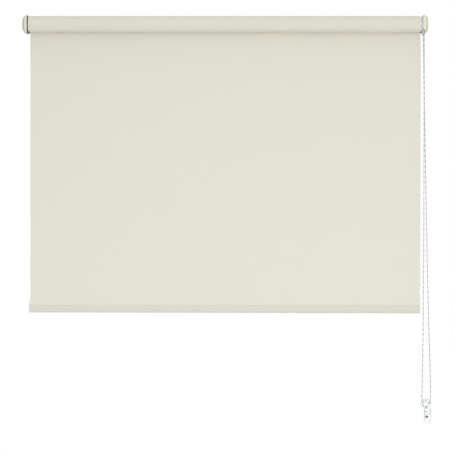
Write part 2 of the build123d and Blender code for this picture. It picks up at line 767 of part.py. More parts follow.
# Chain tidy: a clear plate with a rimmed head, a hub for the loop and a ribbed leg
leg_left = tidy_x + tidy_radius - leg_width
with BuildPart() as tidy_body:
    with BuildSketch(Plane.XZ) as tidy_face:
        with Locations((tidy_x, tidy_z)):
            Circle(tidy_radius)
        with Locations((leg_left, tidy_z)):
            Rectangle(leg_width, leg_length, align=(Align.MIN, Align.MAX))
        fillet(tidy_face.vertices().group_by(Axis.Y)[0], leg_corner)
    extrude(amount=tidy_plate)
    with BuildSketch(Plane.XZ.offset(tidy_plate)):
        for side in (-1, 1):
            with Locations((leg_left + leg_width / 2 + side * (leg_width - leg_rib) / 2, tidy_z)):
                Rectangle(leg_rib, leg_length - leg_corner, align=(Align.CENTER, Align.MAX))
    extrude(amount=leg_rib_height)
    with BuildSketch(Plane.XZ.offset(tidy_plate)):
        with Locations((tidy_x, tidy_z)):
            Circle(tidy_radius)
            Circle(tidy_radius - tidy_rim, mode=Mode.SUBTRACT)
            Circle(tidy_hub_radius)
    extrude(amount=tidy_depth - tidy_plate)
    for angle in notch_angles:
        with BuildSketch(Plane.XZ.offset(tidy_plate)):
            with Locations((tidy_x, tidy_z)):
                with PolarLocations(tidy_radius - tidy_rim / 2, 1, start_angle=angle):
                    Rectangle(2 * tidy_rim, notch_width)
        extrude(amount=tidy_depth, mode=Mode.SUBTRACT)
    with BuildSketch(Plane.XZ.offset(tidy_depth - tidy_lip_thickness)):
        with Locations((tidy_x, tidy_z)):
            Circle(tidy_lip_radius)
    extrude(amount=tidy_lip_thickness)
    with BuildSketch(Plane.XZ):
        with Locations((tidy_x + tidy_hole_shift, tidy_z - tidy_hole_drop)):
            with Locations((0, 0), (0, -tidy_hole_spacing)):
                Circle(tidy_hole_radius)
    extrude(amount=tidy_plate, mode=Mode.SUBTRACT)
tidy_body.part.label = "tidy_body"
export_step(tidy_body.part, "parts/tidy_body.step")

# Its screw: bevelled head with a cross recess, shank into the wall
screw_place = (tidy_x + tidy_hole_shift, tidy_z - tidy_hole_drop)
with BuildPart() as tidy_screw:
    with BuildSketch(Plane.XZ.offset(tidy_plate)):
        with Locations(screw_place):
            Circle(screw_head_radius)
    extrude(amount=screw_head_height)
    chamfer(tidy_screw.edges().sort_by(Axis.Y)[0], screw_head_height / 2)
    with BuildSketch(Plane.XZ.offset(tidy_plate)):
        with Locations(screw_place):
            Circle(screw_radius)
    extrude(amount=-screw_length)
    with BuildSketch(Plane.XZ.offset(tidy_plate + screw_head_height - recess_depth)):
        with Locations(screw_place):
            Rectangle(recess_length, recess_width)
            Rectangle(recess_width, recess_length)
    extrude(amount=recess_depth, mode=Mode.SUBTRACT)
tidy_screw.part.label = "tidy_screw"
export_step(tidy_screw.part, "parts/tidy_screw.step")
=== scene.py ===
"""Screen roller blind: its looks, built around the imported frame.

Laid out as a Blender add-on and run as a script. Lengths are in metres in the frame's own axes:
X along the roller towards the chain, Y into the wall and Z up.
"""

import json
import math

import bmesh
import bpy
from bpy.props import FloatProperty, FloatVectorProperty, IntProperty, PointerProperty
from mathutils import Matrix, Vector


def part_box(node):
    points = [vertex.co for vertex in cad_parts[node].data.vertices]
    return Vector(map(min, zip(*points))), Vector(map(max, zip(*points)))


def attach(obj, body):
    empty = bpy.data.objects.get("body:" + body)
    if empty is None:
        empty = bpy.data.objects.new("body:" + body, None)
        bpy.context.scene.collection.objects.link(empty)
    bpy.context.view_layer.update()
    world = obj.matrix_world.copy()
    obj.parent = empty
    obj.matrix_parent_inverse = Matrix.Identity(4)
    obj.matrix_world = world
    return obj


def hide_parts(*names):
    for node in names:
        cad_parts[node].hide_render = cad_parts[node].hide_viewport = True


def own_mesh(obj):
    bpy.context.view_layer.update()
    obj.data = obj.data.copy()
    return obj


bl_info = {
    "name": "Screen roller blind",
    "version": (1, 0, 0),
    "blender": (4, 5, 0),
    "location": "3D View > Sidebar > Blind",
    "description": "Builds the looks of a screen roller blind around its packed frame",
    "category": "Object",
}

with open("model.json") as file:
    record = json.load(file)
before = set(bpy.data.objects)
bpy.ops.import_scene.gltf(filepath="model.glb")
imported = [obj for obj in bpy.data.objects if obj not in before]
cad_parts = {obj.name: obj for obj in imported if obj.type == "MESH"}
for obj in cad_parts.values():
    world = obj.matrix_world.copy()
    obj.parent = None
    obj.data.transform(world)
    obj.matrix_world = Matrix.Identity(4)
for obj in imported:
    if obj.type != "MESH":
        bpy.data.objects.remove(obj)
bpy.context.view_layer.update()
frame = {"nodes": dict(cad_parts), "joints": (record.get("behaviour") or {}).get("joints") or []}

# Places taken from the frame
JOINTS = {joint["name"]: joint for joint in frame["joints"]}
AXIS = Vector(JOINTS["roller_spin"]["pos_m"])
SHEET_LOW, SHEET_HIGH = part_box("fabric_sheet")
POCKET_LOW, POCKET_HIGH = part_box("hem_pocket")
BAR_LOW, BAR_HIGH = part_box("hem_bar")
TUBE_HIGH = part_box("roller_tube")[1]
LEFT_PLATE_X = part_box("bracket_left")[0].x
LEFT_COVER_LOW, LEFT_COVER_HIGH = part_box("cover_left")
RIGHT_COVER_LOW, RIGHT_COVER_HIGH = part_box("cover_right")
WHEEL_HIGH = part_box("sprocket")[1]

CLOTH = SHEET_HIGH.y - SHEET_LOW.y
SHEET_Y = (SHEET_LOW.y + SHEET_HIGH.y) / 2
ROLL_RADIUS = SHEET_HIGH.y - AXIS.y
TUBE_RADIUS = TUBE_HIGH.z - AXIS.z
DROP = SHEET_HIGH.z - SHEET_LOW.z


class BlindClothSettings(bpy.types.PropertyGroup):
    """The woven cloth and its roll"""

    thread_pitch: FloatProperty(
        name="Thread pitch",
        description="Distance between two threads of the weave",
        default=0.0006,
        min=0.0002,
        unit="LENGTH",
    )
    colour: FloatVectorProperty(
        name="Cloth colour",
        description="Colour of the coated yarn",
        subtype="COLOR",
        size=3,
        min=0,
        max=1,
        default=(0.81, 0.79, 0.69),
    )
    layered_shade_share: FloatProperty(
        name="Layered share",
        # Painted shade: colour of the wound cloth, which gets no light from behind, as a share of
        # the cloth colour
        description="Colour of cloth with no light behind it, as a share of the cloth colour",
        subtype="FACTOR",
        default=0.915,
        min=0.5,
        max=1,
    )
    hem_shade_share: FloatProperty(
        name="Hem share",
        # Painted shade: colour of the folded hem, darkened as shade, as a share of the cloth
        # colour
        description="Colour of the folded hem, as a share of the cloth colour",
        subtype="FACTOR",
        default=0.87,
        min=0.5,
        max=1,
    )
    cover: FloatProperty(
        name="Cover",
        description="Share of the single cloth that its threads close",
        subtype="FACTOR",
        default=0.93,
        min=0.5,
        max=1,
    )
    edge_curl: FloatProperty(
        name="Edge curl",
        description="How far the hanging cloth's side edges curl back",
        default=0.0012,
        unit="LENGTH",
    )
    flare: FloatProperty(
        name="Flare",
        description="How far the edge on the idle side spreads at the hem",
        default=0.003,
        unit="LENGTH",
    )
    spread: FloatProperty(
        name="Spread",
        description="How far the edge on the chain's side stands out past the roll's",
        default=0.0042,
        unit="LENGTH",
    )
    curl_end: FloatProperty(
        name="Curl end",
        description="Share of the drop below which the hem pulls the cloth flat",
        subtype="FACTOR",
        default=0.78,
        min=0.1,
        max=1,
    )
    hem_spread: FloatProperty(
        name="Hem spread",
        description="How far the hem stands out on the chain's side",
        default=0.0022,
        unit="LENGTH",
    )
    hem_sag: FloatProperty(
        name="Hem sag",
        description="How far the hem's lower edge drops towards the chain's side",
        default=0.0025,
        unit="LENGTH",
    )


class BlindFittingSettings(bpy.types.PropertyGroup):
    """Covers, brackets and the hem's caps"""

    cover_colour: FloatVectorProperty(
        name="Cover colour",
        description="Colour of the moulded end covers",
        subtype="COLOR",
        size=3,
        min=0,
        max=1,
        default=(0.80, 0.79, 0.67),
    )
    cap_colour: FloatVectorProperty(
        name="Cap colour",
        description="Colour of the hem bar's end caps",
        subtype="COLOR",
        size=3,
        min=0,
        max=1,
        default=(0.72, 0.72, 0.66),
    )
    cap_lip: FloatProperty(
        name="Cap lip",
        description="How much the lip of the hem's open end cap is thickened",
        default=0.0013,
        unit="LENGTH",
    )
    guard_shade_colour: FloatVectorProperty(
        name="Guard colour",
        # Colour of the ring round the chain wheel, painted darker than the covers as shade on its
        # bevels
        description="Colour of the ring round the chain wheel",
        subtype="COLOR",
        size=3,
        min=0,
        max=1,
        default=(0.58, 0.57, 0.46),
    )
    bracket_shade_colour: FloatVectorProperty(
        name="Bracket colour",
        # Colour of the dark painted steel brackets, made near black as painted shade for the gap
        # beside the covers
        description="Colour of the painted steel brackets",
        subtype="COLOR",
        size=3,
        min=0,
        max=1,
        default=(0.035, 0.033, 0.02),
    )
    strand_slot: FloatProperty(
        name="Strand slot",
        description="Width of the slot that lets the chain out below",
        default=0.0048,
        unit="LENGTH",
    )
    cover_wall: FloatProperty(
        name="Cover wall",
        description="Wall thickness of the end covers",
        default=0.0016,
        unit="LENGTH",
    )


class BlindChainSettings(bpy.types.PropertyGroup):
    """The bead chain"""

    bead_pitch: FloatProperty(
        name="Bead pitch",
        description="Distance between two beads",
        default=0.012,
        unit="LENGTH",
    )
    wheel_pockets: IntProperty(
        name="Wheel pockets",
        description="Beads that go once round the chain wheel",
        default=8,
        min=3,
    )
    bead_radius: FloatProperty(
        name="Bead radius",
        description="Radius of one bead",
        default=0.00175,
        unit="LENGTH",
    )
    cord_radius: FloatProperty(
        name="Cord radius",
        description="Radius of the cord between the beads",
        default=0.0007,
        unit="LENGTH",
    )
    cord_joint: FloatProperty(
        name="Cord joint",
        description="Distance between the cord's two ends, inside the top bead",
        default=0.0004,
        unit="LENGTH",
    )
    wheel_width: FloatProperty(
        name="Wheel width",
        description="Width of the chain wheel's rim",
        default=0.0071,
        unit="LENGTH",
    )
    bead_colour: FloatVectorProperty(
        name="Bead colour",
        description="Colour of the moulded beads",
        subtype="COLOR",
        size=3,
        min=0,
        max=1,
        default=(0.55, 0.55, 0.53),
    )


class BlindStageSettings(bpy.types.PropertyGroup):
    """Camera, lights and floor"""

    view_centre: FloatVectorProperty(
        name="View centre",
        description="The point that the middle of the picture shows",
        subtype="TRANSLATION",
        size=3,
        default=(0.0037, AXIS.y, -0.4634),
    )
    view_span: FloatProperty(
        name="View span",
        description="Width of the picture at the roller",
        default=1.0378,
        unit="LENGTH",
    )
    view_distance: FloatProperty(
        name="View distance",
        description="From the camera to the roller",
        default=5.6,
        unit="LENGTH",
    )
    air_level: FloatProperty(
        name="Air level",
        description="Strength of the light all round, against the white background",
        default=0.79,
        min=0,
    )
    idle_side_level: FloatProperty(
        name="Idle side level",
        description="How light it is beyond the end without the chain",
        default=0.25,
        min=0,
    )
    chain_side_level: FloatProperty(
        name="Chain side level",
        description="How light it is beyond the chain's end, against the front",
        default=0.45,
        min=0,
    )
    top_level: FloatProperty(
        name="Top level",
        description="How light it is straight above the blind, against the front",
        default=1.8,
        min=0,
    )
    card_level: FloatProperty(
        name="Card level",
        description="How light the dark cards are that clear plastic shows above and below",
        default=0.02,
        min=0,
    )
    floor_height: FloatProperty(
        name="Floor height",
        description="Height of the floor",
        default=-1.25,
        unit="LENGTH",
    )


def add_node(tree, kind, sockets=None, **settings):
    """Add a shader node. A socket's value is a number or colour, or the output that feeds it."""
    made = tree.nodes.new("ShaderNode" + kind)
    for name, value in settings.items():
        setattr(made, name, value)
    for name, value in (sockets or {}).items():
        if isinstance(value, bpy.types.NodeSocket):
            tree.links.new(value, made.inputs[name])
        else:
            made.inputs[name].default_value = value
    return made


def result_of(tree, operation, first, second):
    """The result of one operation on two numbers or outputs."""
    return add_node(tree, "Math", {0: first, 1: second}, operation=operation).outputs[0]


def blend_colours(tree, share, first, second):
    """A colour between two others, by a share from 0 to 1."""
    made = add_node(
        tree, "Mix", {"Factor": share, "A": first, "B": second}, data_type="RGBA"
    )
    return made.outputs["Result"]


def new_material(name, roughness, **sockets):
    """A material with its own shader. Values that are the same all over go on the shader."""
    made = bpy.data.materials.new(name)
    made.use_nodes = True
    shader = made.node_tree.nodes["Principled BSDF"]
    shader.inputs["Roughness"].default_value = roughness
    for socket, value in sockets.items():
        shader.inputs[socket.replace("_", " ")].default_value = value
    return made, made.node_tree, shader


def scaled_place(tree, source, scale):
    """A texture place from the object's own axes or the cloth, with a scale for each axis."""
    if source == "cloth":
        place = add_node(tree, "UVMap", uv_map="cloth").outputs["UV"]
    else:
        place = add_node(tree, "TexCoord").outputs["Object"]
    return add_node(tree, "Mapping", {"Vector": place, "Scale": scale}).outputs["Vector"]


def add_bump(tree, shader, height, strength, distance):
    """Raise the surface by a height from 0 to 1."""
    bump = add_node(
        tree, "Bump", {"Height": height, "Strength": strength, "Distance": distance}
    )
    tree.links.new(bump.outputs["Normal"], shader.inputs["Normal"])


def tinted(colour, factor):
    """A colour made lighter or darker, with its alpha."""
    return (*[min(1, part * factor) for part in colour], 1)


def woven_cloth(name, shade, cover):
    """Coated yarn in a plain weave, with small gaps between the threads painted darker as shade.
    """
    cloth = bpy.context.scene.blind_cloth
    # A shade below 1 paints the whole cloth darker as painted shade
    colour = [part * shade for part in cloth.colour]
    made, tree, shader = new_material(name, 0.75, Alpha=cover, Specular_IOR_Level=0.25)
    pitch = 1 / cloth.thread_pitch
    place = scaled_place(tree, "cloth", (pitch, pitch, 1))
    parts = add_node(tree, "SeparateXYZ", {"Vector": place})
    waves = []
    for axis in ("X", "Y"):
        turn = result_of(tree, "MULTIPLY", parts.outputs[axis], math.pi)
        waves.append(result_of(tree, "SINE", turn, 0))
    crossing = result_of(tree, "MULTIPLY", waves[0], waves[1])
    ridge_share, crossing_share, gap_height = 0.6, 0.4, 0.45
    threads = []
    for wave, side in zip(waves, (crossing_share, -crossing_share)):
        ridge = result_of(tree, "MULTIPLY", result_of(tree, "ABSOLUTE", wave, 0), ridge_share)
        bend = result_of(tree, "MULTIPLY", crossing, side)
        threads.append(result_of(tree, "ADD", ridge, bend))
    height = result_of(tree, "MAXIMUM", threads[0], threads[1])
    closed = add_node(
        tree, "MapRange", {"Value": height, "From Min": 0.0, "From Max": gap_height}
    ).outputs["Result"]
    fine, drawn_out = pitch / 6, 9
    slubs = []
    for scale in ((fine, drawn_out, 1), (drawn_out, fine, 1)):
        streak = add_node(
            tree,
            "TexNoise",
            {"Vector": scaled_place(tree, "cloth", scale), "Scale": 1, "Detail": 2},
        )
        slubs.append(streak.outputs["Fac"])
    slub = result_of(tree, "MULTIPLY", result_of(tree, "ADD", slubs[0], slubs[1]), 0.5)
    yarn = blend_colours(tree, slub, tinted(colour, 0.98), tinted(colour, 1.02))
    # Painted shade: the gaps between the threads get a darker colour
    tone = blend_colours(tree, closed, tinted(colour, 0.72), yarn)
    tree.links.new(tone, shader.inputs["Base Color"])
    add_bump(tree, shader, height, 0.35, cloth.thread_pitch / 4)
    return made


def moulded_plastic(name, colour, roughness, grain=0.15):
    """Satin moulded plastic with a faint grain and a slightly uneven sheen."""
    made, tree, shader = new_material(name, roughness, Specular_IOR_Level=0.4)
    place = scaled_place(tree, "object", (1, 1, 1))
    cloud = add_node(tree, "TexNoise", {"Vector": place, "Scale": 35, "Detail": 3})
    tone = blend_colours(tree, cloud.outputs["Fac"], tinted(colour, 0.97), tinted(colour, 1.03))
    tree.links.new(tone, shader.inputs["Base Color"])
    sheen = add_node(
        tree,
        "MapRange",
        {"Value": cloud.outputs["Fac"], "To Min": roughness - 0.06, "To Max": roughness + 0.06},
    )
    tree.links.new(sheen.outputs["Result"], shader.inputs["Roughness"])
    pores = add_node(tree, "TexNoise", {"Vector": place, "Scale": 2600, "Detail": 1})
    add_bump(tree, shader, pores.outputs["Fac"], grain, 0.00006)
    return made


def clear_plastic(name, shade=1):
    """Clear moulded plastic, slightly cool, with faint flow lines. A shade below 1 paints it
    darker as painted shade.
    """
    made, tree, shader = new_material(
        name, 0.04, IOR=1.58, Transmission_Weight=1.0, Specular_IOR_Level=0.5
    )
    place = scaled_place(tree, "object", (1, 1, 0.3))
    flow = add_node(tree, "TexNoise", {"Vector": place, "Scale": 160, "Detail": 2})
    tone = blend_colours(
        tree,
        flow.outputs["Fac"],
        tinted((0.90, 0.94, 0.93), shade),
        tinted((0.97, 0.985, 0.98), shade),
    )
    tree.links.new(tone, shader.inputs["Base Color"])
    add_bump(tree, shader, flow.outputs["Fac"], 0.1, 0.0002)
    return made


def metal(name, colour, roughness, streaks):
    """Metal with fine streaks. streaks gives the fineness along each axis."""
    made, tree, shader = new_material(name, roughness, Metallic=1.0)
    place = scaled_place(tree, "object", streaks)
    lines = add_node(tree, "TexNoise", {"Vector": place, "Scale": 1, "Detail": 3})
    tone = blend_colours(tree, lines.outputs["Fac"], tinted(colour, 0.88), tinted(colour, 1.1))
    tree.links.new(tone, shader.inputs["Base Color"])
    rough = add_node(
        tree,
        "MapRange",
        {"Value": lines.outputs["Fac"], "To Min": roughness - 0.08, "To Max": roughness + 0.08},
    )
    tree.links.new(rough.outputs["Result"], shader.inputs["Roughness"])
    add_bump(tree, shader, lines.outputs["Fac"], 0.1, 0.00005)
    return made


def painted_steel(name, colour):
    """Powder-painted sheet steel with a fine orange-peel surface."""
    made, tree, shader = new_material(name, 0.5, Specular_IOR_Level=0.35)
    place = scaled_place(tree, "object", (1, 1, 1))
    peel = add_node(tree, "TexNoise", {"Vector": place, "Scale": 900, "Detail": 2})
    cloud = add_node(tree, "TexNoise", {"Vector": place, "Scale": 40, "Detail": 2})
    tone = blend_colours(tree, cloud.outputs["Fac"], tinted(colour, 0.9), tinted(colour, 1.1))
    tree.links.new(tone, shader.inputs["Base Color"])
    add_bump(tree, shader, peel.outputs["Fac"], 0.2, 0.00008)
    return made


def braided_cord(name):
    """Braided cord: fine crossing strands, pale and slightly fuzzy."""
    made, tree, shader = new_material(name, 0.8, Sheen_Weight=0.2)
    place = scaled_place(tree, "object", (1, 1, 1))
    strands = add_node(
        tree,
        "TexWave",
        {"Vector": place, "Scale": 900, "Distortion": 1.5},
        bands_direction="DIAGONAL",
    )
    tone = blend_colours(
        tree, strands.outputs["Fac"], (0.42, 0.42, 0.39, 1), (0.60, 0.60, 0.56, 1)
    )
    tree.links.new(tone, shader.inputs["Base Color"])
    add_bump(tree, shader, strands.outputs["Fac"], 0.4, 0.0001)
    return made


def new_piece(name, mesh, material, body, nodes=()):
    """Put a mesh in the scene as a piece that rides on a body and stands for its nodes."""
    mesh.materials.clear()
    mesh.materials.append(material)
    piece = bpy.data.objects.new(name, mesh)
    bpy.context.scene.collection.objects.link(piece)
    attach(piece, body)
    if nodes:
        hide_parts(*nodes)
    return piece


def settle(piece):
    """Turn a piece's modifiers into its mesh."""
    graph = bpy.context.evaluated_depsgraph_get()
    made = bpy.data.meshes.new_from_object(
        piece.evaluated_get(graph), preserve_all_data_layers=True, depsgraph=graph
    )
    old = piece.data
    piece.modifiers.clear()
    piece.data = made
    bpy.data.meshes.remove(old)


def grid_mesh(name, rows, places):
    """A smooth mesh of quads over rows of points, with their places on the flat cloth."""
    across = len(rows[0])
    faces = [
        (r * across + c, r * across + c + 1, (r + 1) * across + c + 1, (r + 1) * across + c)
        for r in range(len(rows) - 1)
        for c in range(across - 1)
    ]
    mesh = bpy.data.meshes.new(name)
    mesh.from_pydata([point for row in rows for point in row], [], faces)
    flat = [place for row in places for place in row]
    layer = mesh.uv_layers.new(name="cloth")
    for loop in mesh.loops:
        layer.data[loop.index].uv = flat[loop.vertex_index]
    mesh.shade_smooth()
    return mesh


def cloth_piece(name, rows, places, material, body, nodes):
    """A sheet of cloth through rows of points at the middle of its thickness."""
    piece = new_piece(
        name, grid_mesh(name, rows, places), material, body, nodes
    )
    # Thinner than the roll's pitch, so that its turns stand apart
    thickness = CLOTH * 0.9
    thick = piece.modifiers.new("thickness", "SOLIDIFY")
    thick.thickness = thickness
    thick.offset = 0
    settle(piece)
    sharpen(piece, 40)
    return piece


def sharpen(piece, degrees):
    """Shade a mesh smooth except across edges sharper than this."""
    piece.data.shade_smooth()
    piece.data.set_sharp_from_angle(angle=math.radians(degrees))


def softened(node, name, width, material, body, segments=3):
    """A node's own shape with its sharp edges rounded."""
    same_place, flat_angle, edge_angle = 1e-6, 0.5, 35
    mesh = frame["nodes"][node].data.copy()
    mesh.name = name
    shape = bmesh.new()
    shape.from_mesh(mesh)
    bmesh.ops.remove_doubles(shape, verts=shape.verts, dist=same_place)
    bmesh.ops.dissolve_limit(
        shape, angle_limit=math.radians(flat_angle), verts=shape.verts, edges=shape.edges
    )
    shape.to_mesh(mesh)
    shape.free()
    piece = new_piece(name, mesh, material, body, [node])
    rounding = piece.modifiers.new("rounding", "BEVEL")
    rounding.width = width
    rounding.segments = segments
    rounding.limit_method = "ANGLE"
    rounding.angle_limit = math.radians(edge_angle)
    settle(piece)
    sharpen(piece, edge_angle)
    return piece


def paint(node, material):
    """Give a node of the frame its finish."""
    for place in frame["nodes"][node].material_slots:
        place.material = material


class BLIND_OT_hanging_cloth(bpy.types.Operator):
    """Hang the cloth from the back of the roll"""

    bl_idname = "blind.hanging_cloth"
    bl_label = "Hanging cloth"

    def execute(self, context):
        cloth = context.scene.blind_cloth
        columns, lines = 160, 120
        flare_height, flare_fade = 0.010, 12
        spread_height = 0.02
        curl_width = 0.012
        ripple_depth = 0.0003
        wide_ripple, slant, fine_ripple = 9, 2, 23
        width = SHEET_HIGH.x - SHEET_LOW.x
        rows, places = [], []
        for line in range(lines + 1):
            down = line / lines
            z = SHEET_HIGH.z - down * DROP
            belly = math.sin(math.pi * min(1, down / cloth.curl_end))
            flare = cloth.flare * math.exp(-(((z - SHEET_LOW.z) / flare_height) ** 2))
            spread = cloth.spread * (1 - math.exp((z - SHEET_HIGH.z) / spread_height))
            spread += (cloth.hem_spread - cloth.spread) * down
            row, flat = [], []
            for column in range(columns + 1):
                share = column / columns
                x = SHEET_LOW.x + share * (width + spread) - flare * (1 - share) ** flare_fade
                edge = min(share, 1 - share) * width
                curl = cloth.edge_curl * math.exp(-edge / curl_width) * belly
                ripple = ripple_depth * belly * math.sin(wide_ripple * share + slant * down)
                ripple *= math.sin(fine_ripple * share)
                row.append((x, SHEET_Y + curl + ripple, z))
                flat.append((share * width, down * DROP))
            rows.append(row)
            places.append(flat)
        piece = cloth_piece(
            "hanging_cloth",
            rows,
            places,
            woven_cloth("single cloth", 1, cloth.cover),
            "root",
            ["fabric_sheet"],
        )
        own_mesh(piece)
        return {"FINISHED"}


class BLIND_OT_wound_cloth(bpy.types.Operator):
    """Wind the rest of the cloth round the tube"""

    bl_idname = "blind.wound_cloth"
    bl_label = "Wound cloth"

    def execute(self, context):
        cloth = context.scene.blind_cloth
        width = SHEET_HIGH.x - SHEET_LOW.x
        outer = ROLL_RADIUS - CLOTH / 2
        inner = TUBE_RADIUS + CLOTH / 2
        turns = (outer - inner) / CLOTH
        steps_a_turn = 72
        slow_slip, quick_slip, slip_fade = 0.00025, 0.00015, 60
        slow_rate, quick_rate = 1.9, 0.7
        columns = 16
        steps = round(turns * steps_a_turn)
        shares = [0, 0.004, 0.012] + [i / columns for i in range(1, columns)] + [0.988, 0.996, 1]
        rows, places = [], []
        length = 0
        for step in range(steps + 1):
            turn = step / steps * turns
            angle = 2 * math.pi * turn
            radius = outer - CLOTH * turn
            slip = slow_slip * math.sin(slow_rate * turn)
            slip += quick_slip * math.sin(quick_rate * angle + 1)
            row, flat = [], []
            for share in shares:
                end_slip = slip * math.exp(-min(share, 1 - share) * slip_fade)
                x = SHEET_LOW.x + share * width + end_slip
                y = AXIS.y + radius * math.cos(angle)
                z = AXIS.z + radius * math.sin(angle)
                row.append((x, y, z))
                flat.append((share * width, -length))
            rows.append(row)
            places.append(flat)
            length += radius * 2 * math.pi * turns / steps
        piece = cloth_piece(
            "wound_cloth",
            rows,
            places,
            # Painted shade: the wound cloth is painted darker than the hanging cloth
            woven_cloth("layered cloth painted shade", cloth.layered_shade_share, 1),
            "roller",
            ["fabric_roll"],
        )
        return {"FINISHED"}


class BLIND_OT_hem(bpy.types.Operator):
    """Fold the hem round its bar and cap the bar's ends"""

    bl_idname = "blind.hem"
    bl_label = "Hem"

    def execute(self, context):
        cloth = context.scene.blind_cloth
        fittings = context.scene.blind_fittings
        middle_y = (BAR_LOW.y + BAR_HIGH.y) / 2
        middle_z = (BAR_LOW.z + BAR_HIGH.z) / 2
        radius = middle_y - SHEET_Y
        half_run = (BAR_HIGH.z - BAR_LOW.z) / 2 - (BAR_HIGH.y - BAR_LOW.y) / 2
        weld_y = SHEET_Y + CLOTH
        weld_edge = 0.002
        crease, crease_top, crease_foot = 0.0005, 0.0008, 0.0028
        arc, columns = 18, 40
        cloth_start = DROP + 0.06
        cap_reach = 0.001
        path = [(weld_y, POCKET_HIGH.z), (weld_y, POCKET_HIGH.z - weld_edge)]
        path.append((weld_y, SHEET_LOW.z))
        bends = ((middle_z + half_run, 135, 0), (middle_z - half_run, 0, -180))
        for centre_z, first, last in bends:
            for step in range(arc + 1):
                angle = math.radians(first + (last - first) * step / arc)
                path.append(
                    (middle_y + radius * math.cos(angle), centre_z + radius * math.sin(angle))
                )
        path += [(SHEET_Y, middle_z), (SHEET_Y, SHEET_LOW.z - crease_foot)]
        path += [(SHEET_Y + crease, SHEET_LOW.z - crease_top), (SHEET_Y, SHEET_LOW.z)]
        shares = [i / columns for i in range(columns + 1)]
        width = POCKET_HIGH.x - POCKET_LOW.x + cloth.hem_spread
        rows, places = [], []
        length = 0
        for index, (y, z) in enumerate(path):
            if index:
                length += math.dist(path[index - 1], (y, z))
            drop = cloth.hem_sag * min(1, max(0, (SHEET_LOW.z - z) / (SHEET_LOW.z - BAR_LOW.z)))
            rows.append([(POCKET_LOW.x + share * width, y, z - drop * share) for share in shares])
            places.append([(share * width, cloth_start - length) for share in shares])
        pocket = cloth_piece(
            "hem_pocket_cloth",
            rows,
            places,
            # Painted shade: the hem's cloth is painted darker than the hanging cloth
            woven_cloth("hem cloth painted shade", cloth.hem_shade_share, 1),
            "hem",
            ["hem_pocket"],
        )
        cap_plastic = moulded_plastic("cap plastic", fittings.cap_colour, 0.4)
        for side in ("left", "right"):
            cap = softened(
                f"hem_cap_{side}", f"hem_end_{side}", 0.0005, cap_plastic, "hem"
            )
            for vertex in cap.data.vertices:
                if vertex.co.x < POCKET_LOW.x - cap_reach:
                    vertex.co.x -= fittings.cap_lip
        aluminium = metal("aluminium extrusion", (0.80, 0.80, 0.79), 0.35, (6, 3000, 3000))
        paint("hem_bar", aluminium)
        paint("roller_tube", aluminium)
        return {"FINISHED"}


def cover_row(x, radius):
    """A cover's outline at one station: along the top from the wall, round the front and back."""
    steps = 56
    points = [(x, 0, radius), (x, AXIS.y / 2, radius)]
    for step in range(steps + 1):
        angle = math.radians(90 + 180 * step / steps)
        points.append((x, AXIS.y + radius * math.cos(angle), AXIS.z + radius * math.sin(angle)))
    return points + [(x, AXIS.y / 2, -radius), (x, 0, -radius)]


def cover_mesh(name, outside, inside):
    """A D-shaped shell. outside and inside list stations and radii from the rim to the face."""
    mesh = bpy.data.meshes.new(name)
    shape = bmesh.new()
    skins = []
    for profile in (outside, inside):
        skin = [[shape.verts.new(p) for p in cover_row(x, radius)] for x, radius in profile]
        for near, far in zip(skin, skin[1:]):
            for corners in zip(near, near[1:], far[1:], far):
                shape.faces.new(corners)
        shape.faces.new(skin[-1])
        skins.append(skin)
    outer, inner = skins
    for corners in zip(outer[0], outer[0][1:], inner[0][1:], inner[0]):
        shape.faces.new(corners)
    wall_side = [row[0] for row in outer] + [row[-1] for row in reversed(outer)]
    wall_side += [row[-1] for row in inner] + [row[0] for row in reversed(inner)]
    shape.faces.new(wall_side)
    bmesh.ops.recalc_face_normals(shape, faces=shape.faces)
    shape.to_mesh(mesh)
    shape.free()
    return mesh


def chain_wheel(chain):
    """X of the chain wheel's middle plane, and the radius of its circle of beads."""
    middle_x = WHEEL_HIGH.x - chain.wheel_width / 2
    return middle_x, chain.bead_pitch * chain.wheel_pockets / (2 * math.pi)


def cut_box(piece, low, high):
    """Cut a box out of a piece."""
    mesh = bpy.data.meshes.new("cutter")
    shape = bmesh.new()
    bmesh.ops.create_cube(shape, size=1)
    size = [b - a for a, b in zip(low, high)]
    middle = [(a + b) / 2 for a, b in zip(low, high)]
    shape.transform(Matrix.Translation(middle) @ Matrix.Diagonal((*size, 1)))
    shape.to_mesh(mesh)
    shape.free()
    cutter = bpy.data.objects.new("cutter", mesh)
    bpy.context.scene.collection.objects.link(cutter)
    cut = piece.modifiers.new("cut", "BOOLEAN")
    cut.object = cutter
    cut.operation = "DIFFERENCE"
    cut.solver = "EXACT"
    settle(piece)
    bpy.data.objects.remove(cutter)


def oval_radius(x, face, run, radius, drop):
    """The radius at one station of a rounded corner."""
    share = min(1, (x - face) / run)
    return radius - drop * (1 - math.sqrt(1 - (1 - share) ** 2))


def rounded_corner(face, run, radius, drop):
    """Stations and radii of part of an oval, from the outline to a shoulder."""
    steps = 9
    made = []
    for step in range(steps + 1):
        angle = math.pi / 2 * step / steps
        made.append((face + run * (1 - math.sin(angle)), radius - drop * (1 - math.cos(angle))))
    return made


